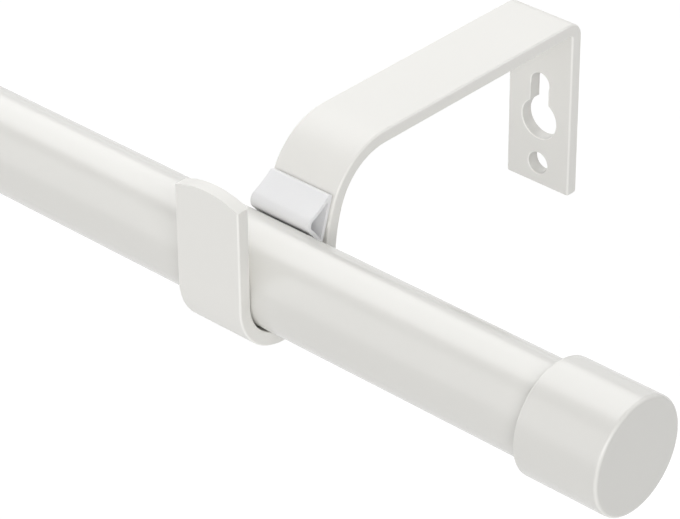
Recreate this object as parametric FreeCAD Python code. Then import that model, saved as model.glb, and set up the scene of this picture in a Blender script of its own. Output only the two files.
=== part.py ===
import FreeCAD, Part
import math
import os
from FreeCAD import Vector

# Extendable curtain rod on two wall brackets.
# +X runs along the rod to its right-hand cap, +Y points to the wall, +Z is up.
# The origin is the centre of the right bracket's lower screw hole, on the wall plane.
# All sizes are in millimetres.

# Telescoping tubes
tube_od = 19.05
tube_wall = 0.8
tube_length = 689.0
telescope_room = 0.7875
thin_tube_wall = 0.8
thin_tube_setback = 45.0
drawn_out_at_rest = 60.0

# Plastic collar in the outer tube's open mouth
collar_sleeve_length = 16.0
collar_flange = 1.4
collar_bore_clearance = 0.08
collar_seat_clearance = 0.05
collar_edge_round = 0.35

# Plastic guide plug in the thin tube's inner end
guide_head_length = 11.0
guide_spigot_length = 14.0
guide_core_radius = 3.6
guide_clearance = 0.1
guide_seat_clearance = 0.05
guide_edge_round = 0.5

# End caps and their plastic liners
cap_length = 18.2
cap_wall = 0.9
cap_end_thickness = 1.0
cap_front_round = 0.7
cap_rim_round = 0.35
liner_wall = 0.95
liner_floor = 1.5
liner_clearance = 0.05
liner_rib_clearance = 0.04
liner_recess = 0.6
liner_rib_count = 6
liner_rib_height = 0.35
liner_rib_width = 1.4
liner_rib_root = 0.25
adapter_pocket_width = 1.3
adapter_rim_wall = 0.6
cap_to_collar_gap = 0.3

# Bracket: one flat strip, bent
strip_width = 16.0
strip_thickness = 2.8
strip_edge_round = 0.45
projection = 85.2
bracket_to_cap = 71.5
bracket_to_mouth = 71.5
tab_height = 20.35
tab_arch = 1.7
tab_gap = 0.15
seat_gap = 0.1
leg_gap = 1.0
front_corner_radius = 8.9
back_corner_radius = 8.0
leg_straight = 0.3
leg_lean = 20.0
leg_radius = 32.0
shoulder_radius = 12.5
wall_bend_radius = 0.8
plate_height = 39.75

# Holes in the wall plate, heights measured from its lower edge
screw_hole_height = 4.85
screw_hole_radius = 2.4
keyhole_head_height = 15.15
keyhole_head_radius = 4.35
keyhole_slot_height = 23.4
keyhole_slot_radius = 2.3
hole_edge_bevel = 0.2

# Retaining clip, a hollow plastic loop snapped into the leg
clip_inset = 0.6
clip_wall = 0.8
clip_gap = 0.3
clip_pad_gap = 0.15
clip_seat_height = 9.15
clip_pad_up = 3.6
clip_foot_width = 0.5
clip_lip = 1.05
clip_nose_radius = 2.0
clip_nose_angle = 45.0
clip_leaf_hollow = 22.0
clip_corner_round = 0.2
clip_edge_round = 0.1
stud_radius = 1.5
stud_hole_clearance = 0.4
stud_root = 0.5
stud_head_radius = 2.6
stud_head_thickness = 1.0
stud_head_gap = 0.8

# Sizes that follow from the ones above
tube_r = tube_od / 2
tube_bore_r = tube_r - tube_wall
thin_tube_r = tube_bore_r - telescope_room
thin_bore_r = thin_tube_r - thin_tube_wall
cap_r = tube_r + 2 * liner_clearance + liner_wall + cap_wall
cap_bore_r = cap_r - cap_wall
liner_r = cap_bore_r - liner_clearance
clip_hug_r = tube_r + clip_gap

# Places along the rod, from the right bracket's mid-plane
right_cap_rim_x = bracket_to_cap
right_cap_end_x = right_cap_rim_x + cap_length
tube_right_x = right_cap_end_x - cap_end_thickness - liner_floor
tube_left_x = tube_right_x - tube_length
collar_face_x = tube_left_x - collar_flange
left_bracket_x = tube_left_x + bracket_to_mouth
left_cap_rim_x = collar_face_x - cap_to_collar_gap - drawn_out_at_rest
left_cap_end_x = left_cap_rim_x - cap_length
thin_tube_left_x = left_cap_end_x + cap_end_thickness + liner_floor
thin_tube_right_x = tube_right_x - thin_tube_setback - drawn_out_at_rest

# How far a cutter runs past what it cuts, and how near two values count as equal
cut_past = 1.0
EPS = 1e-6

# The way the rod runs
ALONG = Vector(1, 0, 0)


def turn(vector, degrees):
    """A (y, z) pair turned anticlockwise."""
    a = math.radians(degrees)
    y, z = vector
    return (y * math.cos(a) - z * math.sin(a), y * math.sin(a) + z * math.cos(a))


def ahead(point, heading, distance):
    return (point[0] + heading[0] * distance, point[1] + heading[1] * distance)


def at(point):
    """A (y, z) pair as a point in space."""
    return Vector(0, point[0], point[1])


def line(start, end):
    return Part.LineSegment(at(start), at(end)).toShape()


def arc(start, middle, end):
    return Part.Arc(at(start), at(middle), at(end)).toShape()


def bent_strip_route():
    """Steps of the strip from the tab's top, down round the rod and up to the wall.

    Each step is a straight length, or a bend with its inside radius and its turn in
    degrees, positive to the left of the way the strip runs.
    """
    tab_face = -(tube_r + tab_gap)
    seat = -(tube_r + seat_gap)
    leg_face = tube_r + leg_gap
    tab_run = tab_height + tab_arch - (seat + front_corner_radius)
    seat_run = leg_face - back_corner_radius - (tab_face + front_corner_radius)
    lean = math.radians(leg_lean)
    leg_reach = (leg_radius + strip_thickness) * (1 - math.cos(lean))
    shoulder_reach = (shoulder_radius + strip_thickness) * math.cos(lean)
    wall_bend_reach = wall_bend_radius + strip_thickness
    arm_run = projection - leg_face - leg_reach - shoulder_reach - wall_bend_reach
    plate_run = plate_height - wall_bend_reach
    start = (tab_face, tab_height + tab_arch)
    steps = [
        ("straight", tab_run, 0),
        ("bend", front_corner_radius, 90),
        ("straight", seat_run, 0),
        ("bend", back_corner_radius, 90),
        ("straight", leg_straight, 0),
        ("bend", leg_radius, -leg_lean),
        ("bend", shoulder_radius, leg_lean - 90),
        ("straight", arm_run, 0),
        ("bend", wall_bend_radius, -90),
        ("straight", plate_run, 0),
    ]
    return start, steps


def strip_outline():
    """Edges of the strip's section, its bend centres and its end, about the rod's axis."""
    start, steps = bent_strip_route()
    point = start
    heading = (0.0, -1.0)
    near_side = []
    far_side = []
    centres = []
    for kind, size, degrees in steps:
        outward = turn(heading, -90)
        near_start = point
        far_start = ahead(point, outward, strip_thickness)
        if kind == "straight":
            point = ahead(point, heading, size)
            near_side.append(line(near_start, point))
            far_side.append(line(far_start, ahead(point, outward, strip_thickness)))
            continue
        left = degrees > 0
        reach = size if left else size + strip_thickness
        centre = ahead(point, outward, -reach if left else reach)
        centres.append(centre)
        spokes = [(near_start[0] - centre[0], near_start[1] - centre[1]),
                  (far_start[0] - centre[0], far_start[1] - centre[1])]
        for side, spoke in zip((near_side, far_side), spokes):
            ends = [ahead(centre, turn(spoke, degrees * share), 1) for share in (0, 0.5, 1)]
            side.append(arc(*ends))
        point = ahead(centre, turn(spokes[0], degrees), 1)
        heading = turn(heading, degrees)
    tab_end = line((start[0] - strip_thickness, start[1]), start)
    plate_end = line(point, ahead(point, turn(heading, -90), strip_thickness))
    edges = [tab_end] + near_side + [plate_end] + far_side[::-1]
    return edges, centres, point


def leg_centre():
    """Centre of the long bend in the leg, about the rod's axis."""
    return strip_outline()[1][2]


def plate_foot():
    """The lower edge of the plate's back face, about the rod's axis."""
    return strip_outline()[2]


def rod_axis_place():
    """Where the rod's axis lies, from the origin in the screw hole."""
    foot = plate_foot()
    return Vector(0, -foot[0], -screw_hole_height - foot[1])


def prism(edges, x_from, x_to):
    """A solid from a closed outline in the (y, z) plane, extruded along the rod."""
    wire = Part.Wire(Part.__sortEdges__(edges))
    face = Part.Face(wire)
    face.translate(Vector(x_from, 0, 0))
    return face.extrude(Vector(x_to - x_from, 0, 0))


def tab_arch_cutter():
    """What is taken off above the arched top of the tab."""
    half = strip_width / 2
    reach = half + cut_past
    front = -(tube_r + tab_gap) - strip_thickness - cut_past
    sky = tab_height + tab_arch + cut_past
    left = Vector(-half, front, tab_height)
    crown = Vector(0, front, tab_height + tab_arch)
    right = Vector(half, front, tab_height)
    corners = [right, Vector(reach, front, tab_height), Vector(reach, front, sky),
               Vector(-reach, front, sky), Vector(-reach, front, tab_height), left]
    edges = [Part.Arc(left, crown, right).toShape()]
    edges += [Part.LineSegment(a, b).toShape() for a, b in zip(corners, corners[1:])]
    face = Part.Face(Part.Wire(edges))
    return face.extrude(Vector(0, strip_thickness + 2 * cut_past, 0))


def long_edges(solid):
    """The strip's edges on its two sides and round its two ends."""
    half = strip_width / 2
    foot_z = plate_foot()[1]
    tab_y = -tube_r - tab_gap
    chosen = []
    for edge in solid.Edges:
        box = edge.BoundBox
        on_side = box.XLength < EPS and abs(abs(box.XMin) - half) < EPS
        across = box.XLength > strip_width - EPS
        on_foot = across and box.ZLength < EPS and abs(box.ZMin - foot_z) < EPS
        on_tab = across and box.YMax < tab_y + EPS and box.ZMin > tab_height - EPS
        if on_side or on_foot or on_tab:
            chosen.append(edge)
    return chosen


def through_hole(radius, height):
    """A round hole through the wall plate, bevelled at its front edge."""
    foot = plate_foot()
    outward = Vector(0, -1, 0)
    back = Vector(0, foot[0] + cut_past, foot[1] + height)
    hole = Part.makeCylinder(radius, strip_thickness + 2 * cut_past, back, outward)
    depth = hole_edge_bevel + cut_past
    bevel_foot = Vector(0, foot[0] - strip_thickness + hole_edge_bevel, foot[1] + height)
    bevel = Part.makeCone(radius, radius + depth, depth, bevel_foot, outward)
    return hole.fuse(bevel)


def keyhole_slot():
    """The narrow part of the keyhole, from the head hole up to the round top."""
    foot = plate_foot()
    width = 2 * keyhole_slot_radius
    rise = keyhole_slot_height - keyhole_head_height
    front = foot[0] - strip_thickness - cut_past
    corner = Vector(-keyhole_slot_radius, front, foot[1] + keyhole_head_height)
    slot = Part.makeBox(width, strip_thickness + 2 * cut_past, rise, corner)
    return slot.fuse(through_hole(keyhole_slot_radius, keyhole_slot_height))


def clip_seat():
    """Where the clip's pad meets the leg, and the leg's lean there in degrees."""
    radius = leg_radius + strip_thickness
    centre = leg_centre()
    lean = math.degrees(math.asin((clip_seat_height - centre[1]) / radius))
    seat = ahead(centre, turn((-1, 0), -lean), radius)
    return seat, lean


def stud_axis():
    """The direction through the strip at the clip's seat, away from the rod."""
    return turn((1, 0), -clip_seat()[1])


def bracket(centre_x):
    """The strip bent round the rod, over to the wall and down to its plate."""
    edges = strip_outline()[0]
    strip = prism(edges, -strip_width / 2, strip_width / 2)
    strip = strip.cut(tab_arch_cutter())
    strip = strip.makeFillet(strip_edge_round, long_edges(strip))
    strip = strip.cut(through_hole(screw_hole_radius, screw_hole_height))
    strip = strip.cut(through_hole(keyhole_head_radius, keyhole_head_height))
    strip = strip.cut(keyhole_slot())
    seat = clip_seat()[0]
    start = ahead(seat, stud_axis(), -cut_past)
    stud_hole = Part.makeCylinder(stud_radius + stud_hole_clearance, strip_thickness + 2 * cut_past,
                                  at(start), at(stud_axis()))
    strip = strip.cut(stud_hole)
    strip.translate(rod_axis_place() + Vector(centre_x, 0, 0))
    return strip


def clip_pad():
    """The foot and the top of the pad against the leg, and the lip above it."""
    seat, lean = clip_seat()
    along = turn((0, 1), -lean)
    forward = turn((-1, 0), -lean)
    rear = ahead(seat, forward, clip_pad_gap)
    rise = rear[0] * along[0] + rear[1] * along[1]
    foot_r = clip_hug_r + clip_foot_width
    pad_down = rise - math.sqrt(rise ** 2 - math.hypot(*rear) ** 2 + foot_r ** 2)
    pad_foot = ahead(rear, along, -pad_down)
    pad_top = ahead(rear, along, clip_pad_up)
    return pad_foot, pad_top, ahead(pad_top, forward, clip_lip)


def clip_leaf(lip, nose):
    """The middle of the hollow leaf, its end on the round nose and the angle there."""
    to_lip = (lip[0] - nose[0], lip[1] - nose[1])
    lip_distance = math.hypot(*to_lip)
    lip_angle = math.degrees(math.atan2(to_lip[1], to_lip[0]))
    hollow_distance = clip_leaf_hollow + clip_nose_radius
    across = (hollow_distance ** 2 - clip_leaf_hollow ** 2 + lip_distance ** 2) / (2 * lip_distance)
    touch_angle = lip_angle + math.degrees(math.acos(across / hollow_distance))
    touch = ahead(nose, turn((1, 0), touch_angle), clip_nose_radius)
    hollow = ahead(nose, turn((1, 0), touch_angle), hollow_distance)
    middle = ((lip[0] + touch[0]) / 2, (lip[1] + touch[1]) / 2)
    inward = (middle[0] - hollow[0], middle[1] - hollow[1])
    dip = ahead(hollow, inward, clip_leaf_hollow / math.hypot(*inward))
    return dip, touch, touch_angle


def clip_hug(pad_foot):
    """The arc round the tube, from below the nose to the pad's foot."""
    forward = turn((-1, 0), -clip_seat()[1])
    step = pad_foot[0] * forward[0] + pad_foot[1] * forward[1]
    foot_r = math.hypot(*pad_foot)
    to_tube = -step - math.sqrt(step ** 2 - foot_r ** 2 + clip_hug_r ** 2)
    end = ahead(pad_foot, forward, to_tube)
    end_angle = math.degrees(math.atan2(end[1], end[0]))
    start = ahead((0, 0), turn((1, 0), clip_nose_angle), clip_hug_r)
    middle = ahead((0, 0), turn((1, 0), (clip_nose_angle + end_angle) / 2), clip_hug_r)
    return start, middle, end


def clip_outline():
    """The clip's closed outside line and its corners, about the rod's axis."""
    pad_foot, pad_top, lip = clip_pad()
    nose = ahead((0, 0), turn((1, 0), clip_nose_angle), clip_hug_r + clip_nose_radius)
    dip, touch, touch_angle = clip_leaf(lip, nose)
    hug_start, hug_middle, hug_end = clip_hug(pad_foot)
    bow_angle = (touch_angle + 180 + clip_nose_angle) / 2
    bow = ahead(nose, turn((1, 0), bow_angle), clip_nose_radius)
    edges = [
        line(pad_foot, pad_top),
        line(pad_top, lip),
        arc(lip, dip, touch),
        arc(touch, bow, hug_start),
        arc(hug_start, hug_middle, hug_end),
        line(hug_end, pad_foot),
    ]
    return edges, (pad_foot, pad_top, lip, hug_end)


def edges_across(solid, points):
    """The solid's straight edges along X that pass through one of some (y, z) points."""
    found = []
    for edge in solid.Edges:
        box = edge.BoundBox
        place = (box.Center.y, box.Center.z)
        if box.XLength > EPS and any(math.dist(place, point) < EPS for point in points):
            found.append(edge)
    return found


def bracket_clip(centre_x):
    """The hollow loop between the leg and the rod, with its snap stud."""
    half = strip_width / 2 - clip_inset
    edges, corners = clip_outline()
    outside = Part.Face(Part.Wire(Part.__sortEdges__(edges)))
    cavity = outside.makeOffset2D(-clip_wall, join=2)
    cavity.translate(Vector(-half - cut_past, 0, 0))
    loop = prism(edges, -half, half)
    loop = loop.makeFillet(clip_corner_round, edges_across(loop, corners))
    ends = [edge for edge in loop.Edges if edge.BoundBox.XLength < EPS]
    loop = loop.makeFillet(clip_edge_round, ends)
    loop = loop.cut(cavity.extrude(Vector(2 * (half + cut_past), 0, 0)))
    seat = clip_seat()[0]
    out = at(stud_axis())
    root = ahead(seat, stud_axis(), -clip_pad_gap - stud_root)
    head = ahead(seat, stud_axis(), strip_thickness + stud_head_gap)
    shank = stud_root + clip_pad_gap + strip_thickness + stud_head_gap + stud_head_thickness / 2
    stud = Part.makeCylinder(stud_radius, shank, at(root), out)
    button = Part.makeCone(stud_head_radius, stud_radius, stud_head_thickness, at(head), out)
    clip = loop.fuse(stud).fuse(button)
    clip.translate(rod_axis_place() + Vector(centre_x, 0, 0))
    return clip


def on_rod(solid):
    """A solid made about the X axis, moved to the rod's axis."""
    solid.translate(rod_axis_place())
    return solid


def round_bar(radius, x_from, x_to):
    return Part.makeCylinder(radius, x_to - x_from, Vector(x_from, 0, 0), ALONG)


def pipe(outside, inside, x_from, x_to):
    return round_bar(outside, x_from, x_to).cut(round_bar(inside, x_from - cut_past, x_to + cut_past))


def rings_at(solid, x, radius):
    """The solid's round edges of a given radius in the plane at x."""
    found = []
    for edge in solid.Edges:
        box = edge.BoundBox
        flat = abs(box.XMin - x) < EPS and box.XLength < EPS
        if flat and abs(edge.Curve.Radius - radius) < EPS:
            found.append(edge)
    return found


def outer_tube():
    return on_rod(pipe(tube_r, tube_bore_r, tube_left_x, tube_right_x))


def inner_tube():
    return on_rod(pipe(thin_tube_r, thin_bore_r, thin_tube_left_x, thin_tube_right_x))


def mouth_collar():
    """A flanged sleeve that lines the outer tube's mouth for the thin tube."""
    sleeve_end = tube_left_x + collar_sleeve_length
    flange = round_bar(tube_r, collar_face_x, tube_left_x)
    flange = flange.makeFillet(collar_edge_round, rings_at(flange, collar_face_x, tube_r))
    sleeve = round_bar(tube_bore_r - collar_seat_clearance, tube_left_x - collar_flange / 2, sleeve_end)
    bore = round_bar(thin_tube_r + collar_bore_clearance, collar_face_x - cut_past, sleeve_end + cut_past)
    return on_rod(flange.fuse(sleeve).cut(bore))


def inner_tube_guide():
    """A plug in the thin tube's end, with a head that runs in the outer tube."""
    head_r = tube_bore_r - guide_clearance
    head_end = thin_tube_right_x + guide_head_length
    head = round_bar(head_r, thin_tube_right_x, head_end)
    rims = rings_at(head, head_end, head_r) + rings_at(head, thin_tube_right_x, head_r)
    head = head.makeFillet(guide_edge_round, rims)
    spigot_left = thin_tube_right_x - guide_spigot_length
    spigot_right = thin_tube_right_x + guide_head_length / 2
    spigot = round_bar(thin_bore_r - guide_seat_clearance, spigot_left, spigot_right)
    core = round_bar(guide_core_radius, spigot_left - cut_past, head_end + cut_past)
    return on_rod(head.fuse(spigot).cut(core))


def end_cap(rim_x, end_x):
    """A drawn metal cup, its closed end at end_x."""
    way = math.copysign(1, end_x - rim_x)
    low, high = sorted((rim_x, end_x))
    cup = round_bar(cap_r, low, high)
    cup = cup.makeFillet(cap_front_round, rings_at(cup, end_x, cap_r))
    cup = cup.makeFillet(cap_rim_round, rings_at(cup, rim_x, cap_r))
    floor_x = end_x - way * cap_end_thickness
    low, high = sorted((rim_x - way * cut_past, floor_x))
    return on_rod(cup.cut(round_bar(cap_bore_r, low, high)))


def cap_liner(rim_x, end_x, held_r):
    """The plastic insert of a cap, gripping a tube of radius held_r with ribs."""
    way = math.copysign(1, end_x - rim_x)
    mouth_x = rim_x + way * liner_recess
    back_x = end_x - way * cap_end_thickness
    floor_x = back_x - way * liner_floor
    low, high = sorted((mouth_x, back_x))
    rib_tip = held_r + liner_rib_clearance
    bore_r = rib_tip + liner_rib_height
    body = round_bar(liner_r, low, high)
    low, high = sorted((mouth_x - way * cut_past, floor_x))
    body = body.cut(round_bar(bore_r, low, high))
    low, high = sorted((mouth_x, floor_x))
    for number in range(liner_rib_count):
        rib = Part.makeBox(high - low, liner_rib_width, liner_rib_height + liner_rib_root)
        rib.translate(Vector(low, -liner_rib_width / 2, rib_tip))
        rib.rotate(Vector(0, 0, 0), ALONG, 360 * number / liner_rib_count)
        body = body.fuse(rib)
    return body


def right_cap_liner():
    return on_rod(cap_liner(right_cap_rim_x, right_cap_end_x, tube_r))


def left_cap_liner():
    """The same insert with a thicker wall for the thin tube, cored out from its mouth."""
    body = cap_liner(left_cap_rim_x, left_cap_end_x, thin_tube_r)
    pocket_r = liner_r - adapter_rim_wall
    mouth_x = left_cap_rim_x - liner_recess
    floor_x = thin_tube_left_x
    ring = pipe(pocket_r, pocket_r - adapter_pocket_width, floor_x, mouth_x + cut_past)
    for number in range(liner_rib_count):
        web = Part.makeBox(mouth_x + 2 * cut_past - floor_x, liner_rib_width, cap_r)
        web.translate(Vector(floor_x, -liner_rib_width / 2, 0))
        web.rotate(Vector(0, 0, 0), ALONG, 360 * number / liner_rib_count)
        ring = ring.cut(web)
    return on_rod(body.cut(ring))


parts = {
    "outer_tube": outer_tube(),
    "inner_tube": inner_tube(),
    "mouth_collar": mouth_collar(),
    "inner_tube_guide": inner_tube_guide(),
    "right_end_cap": end_cap(right_cap_rim_x, right_cap_end_x),
    "right_cap_liner": right_cap_liner(),
    "left_end_cap": end_cap(left_cap_rim_x, left_cap_end_x),
    "left_cap_liner": left_cap_liner(),
}
for side, centre_x in (("right", 0), ("left", left_bracket_x)):
    parts[side + "_bracket"] = bracket(centre_x)
    parts[side + "_bracket_clip"] = bracket_clip(centre_x)

os.makedirs("parts", exist_ok=True)
for node, shape in parts.items():
    solids = shape.Solids
    print(node, "solids", len(solids), "valid", shape.isValid(), "volume", round(shape.Volume, 2))
    solids[0].exportStep("parts/%s.step" % node)
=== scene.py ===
import math

import bmesh
import bpy
from mathutils import Matrix, Vector


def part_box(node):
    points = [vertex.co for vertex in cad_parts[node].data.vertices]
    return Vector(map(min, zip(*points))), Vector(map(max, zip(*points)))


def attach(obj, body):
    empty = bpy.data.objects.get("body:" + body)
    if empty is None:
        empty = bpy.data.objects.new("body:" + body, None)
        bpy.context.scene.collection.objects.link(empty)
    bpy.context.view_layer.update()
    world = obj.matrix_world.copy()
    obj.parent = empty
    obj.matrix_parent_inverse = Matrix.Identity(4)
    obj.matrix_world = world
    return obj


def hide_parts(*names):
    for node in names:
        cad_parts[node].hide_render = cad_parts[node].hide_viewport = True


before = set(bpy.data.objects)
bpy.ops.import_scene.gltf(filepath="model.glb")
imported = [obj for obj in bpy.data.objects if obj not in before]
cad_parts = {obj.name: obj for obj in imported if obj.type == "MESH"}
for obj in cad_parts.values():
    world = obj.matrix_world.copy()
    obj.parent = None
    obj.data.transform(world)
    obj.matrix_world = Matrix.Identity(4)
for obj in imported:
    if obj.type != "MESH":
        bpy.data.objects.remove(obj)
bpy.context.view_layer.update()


# The wide tube is welded steel tube, 3/4 in across and cut square at both ends. It carries a
# satin warm-white enamel all over, which close up shows the low, soft dimples of orange peel.
cap_low, cap_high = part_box("right_end_cap")
rod_axis = Vector((0, (cap_low.y + cap_high.y) / 2, (cap_low.z + cap_high.z) / 2))
wide_tube_diameter = 0.01905
tube_wall = 0.0008
tube_rim = 0.00012
tube_facets = 144
same_place = 1e-6
warm_white = (0.745, 0.736, 0.704, 1)
warm_white_thick = (0.727, 0.719, 0.687, 1)
# Painted highlight: the enamel's rims and rounds are painted this paler white.
warm_white_painted_highlight = (0.87, 0.86, 0.825, 1)
enamel_roughness = 0.255
enamel_dullest = 0.268
enamel_ior = 1.66
enamel_peel = 0.0018
enamel_peel_depth = 0.0000035
enamel_haze = 0.009
film_patch = 0.035
film_on_gloss = 0.03
haze_on_gloss = 0.02


class Shade:
    """A socket of a material. Sums on it add Math nodes, and node() adds any other node."""

    def __init__(self, tree, socket=None):
        self.tree = tree
        self.socket = socket

    def node(self, kind, settings=(), sockets=(), output=0):
        made = self.tree.nodes.new(kind)
        for name, value in dict(settings).items():
            setattr(made, name, value)
        for name, value in dict(sockets).items():
            if isinstance(value, Shade):
                self.tree.links.new(value.socket, made.inputs[name])
            else:
                made.inputs[name].default_value = value
        return Shade(self.tree, made.outputs[output] if made.outputs else None)

    def math(self, operation, *values):
        return self.node("ShaderNodeMath", {"operation": operation}, enumerate(values))

    def __add__(self, other):
        return self.math("ADD", self, other)

    def __sub__(self, other):
        return self.math("SUBTRACT", self, other)

    def __rsub__(self, other):
        return self.math("SUBTRACT", other, self)

    def __mul__(self, other):
        return self.math("MULTIPLY", self, other)

    __radd__ = __add__
    __rmul__ = __mul__


def new_material(name):
    """An empty material, and the Shade that its nodes start from."""
    material = bpy.data.materials.new(name)
    material.use_nodes = True
    material.node_tree.nodes.clear()
    return material, Shade(material.node_tree)


def noise(start, place, grain, detail=2.0):
    """Noise with lumps about grain metres across."""
    sockets = {"Vector": place, "Scale": 1 / grain, "Detail": detail, "Roughness": 0.5}
    return start.node("ShaderNodeTexNoise", (), sockets)


def blend_colours(start, share, first, second):
    """A colour that goes from first to second as share goes from 0 to 1."""
    return start.node("ShaderNodeMix", {"data_type": "RGBA"},
                      {"Factor": share, 6: first, 7: second}, output=2)


def finish_material(start, colour, roughness, height, depth, fixed=()):
    """Joins the coat's colour, roughness and surface height into its shader."""
    normal = start.node("ShaderNodeBump", (),
                        {"Height": height, "Strength": 1.0, "Distance": depth})
    sockets = {"Base Color": colour, "Roughness": roughness, "Normal": normal}
    sockets.update(fixed)
    coat = start.node("ShaderNodeBsdfPrincipled", (), sockets)
    start.node("ShaderNodeOutputMaterial", (), {"Surface": coat})


def edge_highlight_mask(start):
    """1 where the surface turns at 45 degrees between facing along X and across it, else 0. It
    marks where highlights are painted.
    """
    facing = start.node("ShaderNodeTexCoord", output="Normal")
    sideways = start.node("ShaderNodeSeparateXYZ", (), {"Vector": facing})
    sideways = sideways * sideways
    return 4 * sideways * (1 - sideways)


def satin_enamel(name, thin, thick, rim_highlight):
    """Sprayed and baked enamel: orange peel, slow changes of gloss and thickness, and a painted
    highlight on the rims.

    The gloss is held under enamel_dullest, because reflections render differently above it,
    and a coat that crossed it would show patches."""
    material, start = new_material(name)
    place = start.node("ShaderNodeTexCoord", output="Object")
    dimples = noise(start, place, enamel_peel, 1.0)
    haze = noise(start, place, enamel_haze, 1.0)
    film = noise(start, place, film_patch, 3.0)
    colour = blend_colours(start, film, thin, thick)
    # Painted highlight: the rims are painted paler where the surface turns between facing along
    # X and across it.
    colour = blend_colours(start, edge_highlight_mask(start), colour, rim_highlight)
    gloss = enamel_roughness + film_on_gloss * (film - 0.5) + haze_on_gloss * (haze - 0.5)
    gloss = start.math("MINIMUM", gloss, enamel_dullest)
    finish_material(start, colour, gloss, dimples, enamel_peel_depth, {"IOR": enamel_ior})
    return material


def turned_tube(diameter, low_x, high_x):
    """A tube turned about the rod's axis from its wall's section, its rims eased."""
    bm = bmesh.new()
    outside = rod_axis.z + diameter / 2
    inside = outside - tube_wall
    section = [(low_x, outside), (high_x, outside), (high_x, inside), (low_x, inside)]
    corners = [bm.verts.new((x, rod_axis.y, z)) for x, z in section]
    sides = [bm.edges.new(pair) for pair in zip(corners, corners[1:] + corners[:1])]
    bmesh.ops.spin(bm, geom=corners + sides, cent=rod_axis, axis=(1, 0, 0),
                   angle=math.tau, steps=tube_facets, use_merge=True)
    rims = [edge for edge in bm.edges
            if abs(edge.verts[0].co.x - edge.verts[1].co.x) < same_place
            and len({round((v.co - rod_axis).yz.length, 6) for v in edge.verts}) == 1]
    bmesh.ops.bevel(bm, geom=rims, offset=tube_rim, affect="EDGES", segments=2,
                    profile=0.5, material=-1)
    bmesh.ops.recalc_face_normals(bm, faces=bm.faces)
    return bm


def even_shading(piece):
    """Smooth shading that leaves the large faces flat."""
    for face in piece.data.polygons:
        face.use_smooth = True
    even = piece.modifiers.new("even shading", "WEIGHTED_NORMAL")
    even.keep_sharp = True


def new_piece(name, bm, body, node, material):
    """A finished mesh, riding on its body in place of its CAD node."""
    mesh = bpy.data.meshes.new(name)
    bm.to_mesh(mesh)
    bm.free()
    piece = bpy.data.objects.new(name, mesh)
    bpy.context.scene.collection.objects.link(piece)
    mesh.materials.append(material)
    even_shading(piece)
    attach(piece, body)
    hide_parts(node)
    return piece


rod_enamel = satin_enamel("rod_enamel", warm_white, warm_white_thick, warm_white_painted_highlight)
low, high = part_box("outer_tube")
new_piece("wide_tube", turned_tube(wide_tube_diameter, low.x, high.x),
          "rod_on_brackets", "outer_tube", rod_enamel)


# The thin tube is the same enamelled steel tube, 5/8 in across, and slides in the wide one.
# Where the collar runs on it, the enamel is rubbed a little glossier in long faint streaks.
thin_tube_diameter = 0.015875
rubbed_roughness = 0.225
streak_width = 0.0006
streak_stretch = 100
streaks_on_gloss = 0.03
streaks_on_height = 0.2


def rubbed_enamel(name, thin, thick):
    """The rod's enamel with fine streaks along X where it slides."""
    material, start = new_material(name)
    place = start.node("ShaderNodeTexCoord", output="Object")
    dimples = noise(start, place, enamel_peel)
    shrink = (1 / streak_stretch, 1, 1)
    drawn_out = start.node("ShaderNodeMapping", (), {"Vector": place, "Scale": shrink})
    streaks = noise(start, drawn_out, streak_width, 3.0)
    film = noise(start, place, film_patch, 3.0)
    colour = blend_colours(start, film, thin, thick)
    gloss = rubbed_roughness + streaks_on_gloss * (streaks - 0.5)
    height = dimples + streaks_on_height * streaks
    finish_material(start, colour, gloss, height, enamel_peel_depth, {"IOR": enamel_ior})
    return material


low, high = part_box("inner_tube")
new_piece("thin_tube", turned_tube(thin_tube_diameter, low.x, high.x),
          "drawn_rod", "inner_tube",
          rubbed_enamel("thin_tube_enamel", warm_white, warm_white_thick))


# The collar in the wide tube's mouth, the thin tube's guide and the caps' liners are moulded
# in white nylon. The surface is dull, with a fine grain and faint flow marks from the mould.
nylon_white = (0.80, 0.80, 0.785, 1)
nylon_shadow = (0.77, 0.77, 0.755, 1)
nylon_roughness = 0.5
nylon_grain = 0.0004
nylon_grain_depth = 0.000008
flow_mark = 0.006
pits_on_gloss = 0.12
crisp_angle = 40


def moulded_plastic(name, light, dark, roughness, grain, depth):
    """A moulding: fine eroded grain and slow flow marks."""
    material, start = new_material(name)
    place = start.node("ShaderNodeTexCoord", output="Object")
    pits = noise(start, place, grain)
    flow = noise(start, place, flow_mark, 4.0)
    colour = blend_colours(start, flow, light, dark)
    gloss = roughness + pits_on_gloss * (pits - 0.5)
    finish_material(start, colour, gloss, pits, depth)
    return material


def dress_node(name, material):
    """Gives a CAD node its finish. Its triangles are joined, and its crisp edges kept."""
    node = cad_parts[name]
    node.data.materials.clear()
    node.data.materials.append(material)
    joined = node.modifiers.new("joined triangles", "WELD")
    joined.merge_threshold = same_place
    crisp = node.modifiers.new("crisp edges", "EDGE_SPLIT")
    crisp.split_angle = math.radians(crisp_angle)
    crisp.use_edge_sharp = False
    even_shading(node)


nylon = moulded_plastic("white_nylon", nylon_white, nylon_shadow, nylon_roughness,
                        nylon_grain, nylon_grain_depth)
for name in ("mouth_collar", "inner_tube_guide", "right_cap_liner", "left_cap_liner"):
    dress_node(name, nylon)


# The end caps are drawn steel cups with a small round at the front edge, in the same satin
# enamel as the tubes. Each is pushed on over its nylon liner.
# The enamel paints a highlight on the caps' front rounds.
cap_enamel = satin_enamel("cap_enamel", warm_white, warm_white_thick, warm_white_painted_highlight)
for name in ("right_end_cap", "left_end_cap"):
    dress_node(name, cap_enamel)
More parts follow.
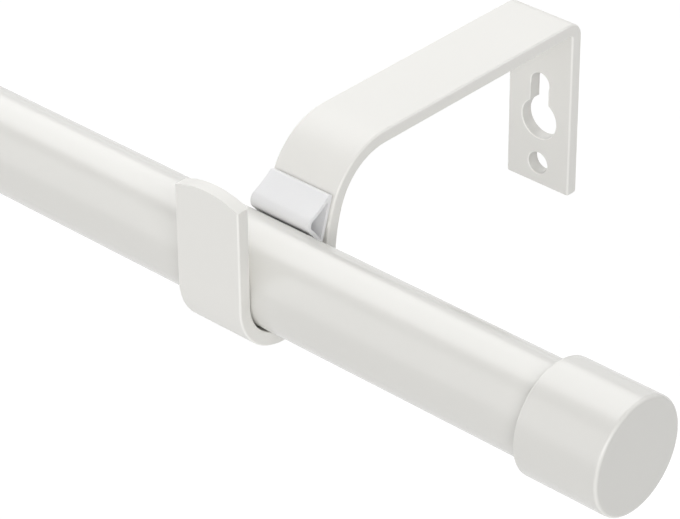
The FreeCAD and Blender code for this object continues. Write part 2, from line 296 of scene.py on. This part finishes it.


# Each bracket is one flat steel strip, 16 by 2.8 mm, pierced, bent cold and then powder coated.
# The coat is whiter and duller than the tubes' enamel. The walls of the pierced holes are
# painted a darker grey as painted shade, and the strip's rounded edges and the hole rims are
# painted paler as painted highlights.
coat_white = (0.845, 0.835, 0.801, 1)
coat_white_thick = (0.828, 0.819, 0.785, 1)
# Painted shade for the hole walls, and a painted highlight for the edges and hole rims.
coat_painted_hole_shade = (0.68, 0.672, 0.645, 1)
coat_painted_highlight = (0.96, 0.95, 0.915, 1)
coat_roughness = 0.42
coat_peel = 0.0018
coat_grain = coat_peel / 7
coat_peel_depth = 0.000009
coat_film_on_gloss = 0.05
coat_grain_on_gloss = 0.04
coat_grain_on_height = 0.12
plate_front = -0.0031
screw_hole_radius = 0.0024
keyhole_head_height = 0.0103
keyhole_head_radius = 0.00435
keyhole_slot_height = 0.01855
keyhole_slot_radius = 0.0023
hole_wall_reach = 0.00002
hole_rim_reach = 0.00022


def inside_holes(start, x, z, grow):
    """1 within the plate's screw hole and keyhole, each grown by a little, and 0 elsewhere."""
    rounds = ((0, screw_hole_radius), (keyhole_head_height, keyhole_head_radius),
              (keyhole_slot_height, keyhole_slot_radius))
    found = start.math("LESS_THAN", x * x, (keyhole_slot_radius + grow) ** 2)
    found = found * start.math("GREATER_THAN", z, keyhole_head_height)
    found = found * start.math("LESS_THAN", z, keyhole_slot_height)
    for height, radius in rounds:
        rise = z - height
        found = found + start.math("LESS_THAN", x * x + rise * rise, (radius + grow) ** 2)
    return start.math("MINIMUM", found, 1)


def powder_coat(name, middle_x):
    """The bracket's coat, with painted shade on its hole walls and painted highlights on its
    hole rims and strip edges.
    """
    material, start = new_material(name)
    place = start.node("ShaderNodeTexCoord", output="Object")
    x, y, z = [start.node("ShaderNodeSeparateXYZ", (), {"Vector": place}, axis)
               for axis in range(3)]
    on_plate = start.math("GREATER_THAN", y, plate_front)
    # Painted shade: the walls of the pierced holes are painted a darker grey.
    walls = on_plate * inside_holes(start, x - middle_x, z, hole_wall_reach)
    # Painted highlight: a thin band round each hole's rim is painted paler.
    rims = on_plate * inside_holes(start, x - middle_x, z, hole_rim_reach)
    edges = start.math("MAXIMUM", edge_highlight_mask(start), rims)
    dimples = noise(start, place, coat_peel)
    grain = noise(start, place, coat_grain, 1.0)
    film = noise(start, place, film_patch, 3.0)
    colour = blend_colours(start, film, coat_white, coat_white_thick)
    # Painted highlight on the strip's rounded edges and the hole rims.
    colour = blend_colours(start, edges, colour, coat_painted_highlight)
    # Painted shade on the walls of the pierced holes.
    colour = blend_colours(start, walls, colour, coat_painted_hole_shade)
    gloss = coat_roughness + coat_film_on_gloss * (film - 0.5)
    gloss = gloss + coat_grain_on_gloss * (grain - 0.5)
    height = dimples + coat_grain_on_height * grain
    finish_material(start, colour, gloss, height, coat_peel_depth)
    return material


for name in ("right_bracket", "left_bracket"):
    low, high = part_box(name)
    dress_node(name, powder_coat(name + "_coat", (low.x + high.x) / 2))


# The retaining clip is a hollow loop moulded in a cooler white plastic. It is snapped into
# the bracket's leg, and its dull, finely grained nose bears on the rod.
clip_white = (0.91, 0.91, 0.915, 1)
clip_shadow = (0.885, 0.885, 0.895, 1)
clip_roughness = 0.58
clip_grain = 0.00025
clip_grain_depth = 0.00001
clip_plastic = moulded_plastic("clip_plastic", clip_white, clip_shadow, clip_roughness,
                               clip_grain, clip_grain_depth)
for name in ("right_bracket_clip", "left_bracket_clip"):
    dress_node(name, clip_plastic)


# The studio is a pale floor a little under the rod, a weak white dome of sky, and six soft
# lamps: three above and behind the rod, two in front of it, and one past its right-hand end.
floor_drop = 0.20
floor_size = 12.0
floor_grey = (0.68, 0.68, 0.68, 1)
floor_glow = 0.43
dome_strength = 0.15
LAMPS = {
    "top_softbox": {"from": (-0.57, 0.35, 0.75), "spread": 57, "strength": 1.68},
    "rim_softbox": {"from": (-0.57, 0.79, 0.22), "spread": 30, "strength": 0.09},
    "back_softbox": {"from": (0.50, 0.60, 0.62), "spread": 34, "strength": 0.45},
    "end_softbox": {"from": (0.74, -0.56, 0.38), "spread": 36, "strength": 1.12},
    "front_softbox": {"from": (-0.57, -0.745, 0.347), "spread": 50, "strength": 0.46},
    "low_softbox": {"from": (0.20, -0.97, 0.14), "spread": 60, "strength": 0.98},
}


def seen_directly(start):
    """1 for what the camera sees straight, in a reflection or through glass, else 0."""
    path = start.tree.nodes.new("ShaderNodeLightPath")
    rays = [Shade(start.tree, path.outputs[name])
            for name in ("Is Camera Ray", "Is Glossy Ray", "Is Transmission Ray")]
    return rays[0].math("MAXIMUM", rays[0].math("MAXIMUM", rays[0], rays[1]), rays[2])


def pale_floor():
    """The floor's material: a matt grey that keeps shadows, lifted to white where it is seen."""
    material, start = new_material("pale_floor")
    matt = start.node("ShaderNodeBsdfDiffuse", (), {"Color": floor_grey})
    glow = start.node("ShaderNodeEmission", (), {"Strength": seen_directly(start) * floor_glow})
    both = start.node("ShaderNodeAddShader", (), {0: matt, 1: glow})
    start.node("ShaderNodeOutputMaterial", (), {"Surface": both})
    return material


def white_dome():
    """The world: plain light on the object, and white where it is seen."""
    world = bpy.data.worlds.new("white_dome")
    bpy.context.scene.world = world
    world.use_nodes = True
    world.node_tree.nodes.clear()
    start = Shade(world.node_tree)
    white = (1, 1, 1, 1)
    lit = start.node("ShaderNodeBackground", (), {"Color": white, "Strength": dome_strength})
    seen = start.node("ShaderNodeBackground", (), {"Color": white, "Strength": 1.0})
    shown = start.node("ShaderNodeMixShader", (), {0: seen_directly(start), 1: lit, 2: seen})
    start.node("ShaderNodeOutputWorld", (), {"Surface": shown})


def hang_lamp(name, direction, spread, strength):
    """A distant softbox, spread degrees across, that shines from a direction."""
    lamp = bpy.data.lights.new(name, "SUN")
    lamp.angle = math.radians(spread)
    lamp.energy = strength
    holder = bpy.data.objects.new(name, lamp)
    holder.rotation_mode = "QUATERNION"
    holder.rotation_quaternion = Vector(direction).to_track_quat("Z", "Y")
    bpy.context.scene.collection.objects.link(holder)


bm = bmesh.new()
bmesh.ops.create_grid(bm, x_segments=1, y_segments=1, size=floor_size / 2)
bmesh.ops.translate(bm, vec=(0, 0, rod_axis.z - floor_drop), verts=bm.verts)
floor_mesh = bpy.data.meshes.new("floor")
bm.to_mesh(floor_mesh)
bm.free()
floor = bpy.data.objects.new("floor", floor_mesh)
bpy.context.scene.collection.objects.link(floor)
floor_mesh.materials.append(pale_floor())
white_dome()
for name, lamp in LAMPS.items():
    hang_lamp(name, lamp["from"], lamp["spread"], lamp["strength"])


# The camera is a long lens above the rod's right-hand end, looking down along it, with the
# picture's 680 by 519 frame. Its place is measured from the frame's origin.
camera_place = (0.355344, -0.446532, 0.338918)
camera_azimuth = 42.759
camera_elevation = 32.541
camera_roll = -0.492
camera_lens = 171.74
camera_sensor = 36.0
camera_near = 0.01

around = math.radians(camera_azimuth)
above = math.radians(camera_elevation)
back = Vector((math.sin(around) * math.cos(above), -math.cos(around) * math.cos(above),
               math.sin(above)))
right = Vector((math.cos(around), math.sin(around), 0))
upright = Matrix((right, back.cross(right), back)).transposed()
lens = bpy.data.cameras.new("camera")
lens.lens = camera_lens
lens.sensor_width = camera_sensor
lens.sensor_fit = "HORIZONTAL"
lens.clip_start = camera_near
camera = bpy.data.objects.new("camera", lens)
turned = upright.to_4x4() @ Matrix.Rotation(math.radians(camera_roll), 4, "Z")
camera.matrix_world = Matrix.Translation(camera_place) @ turned
bpy.context.scene.collection.objects.link(camera)
bpy.context.scene.camera = camera
bpy.context.scene.view_settings.view_transform = "Standard"
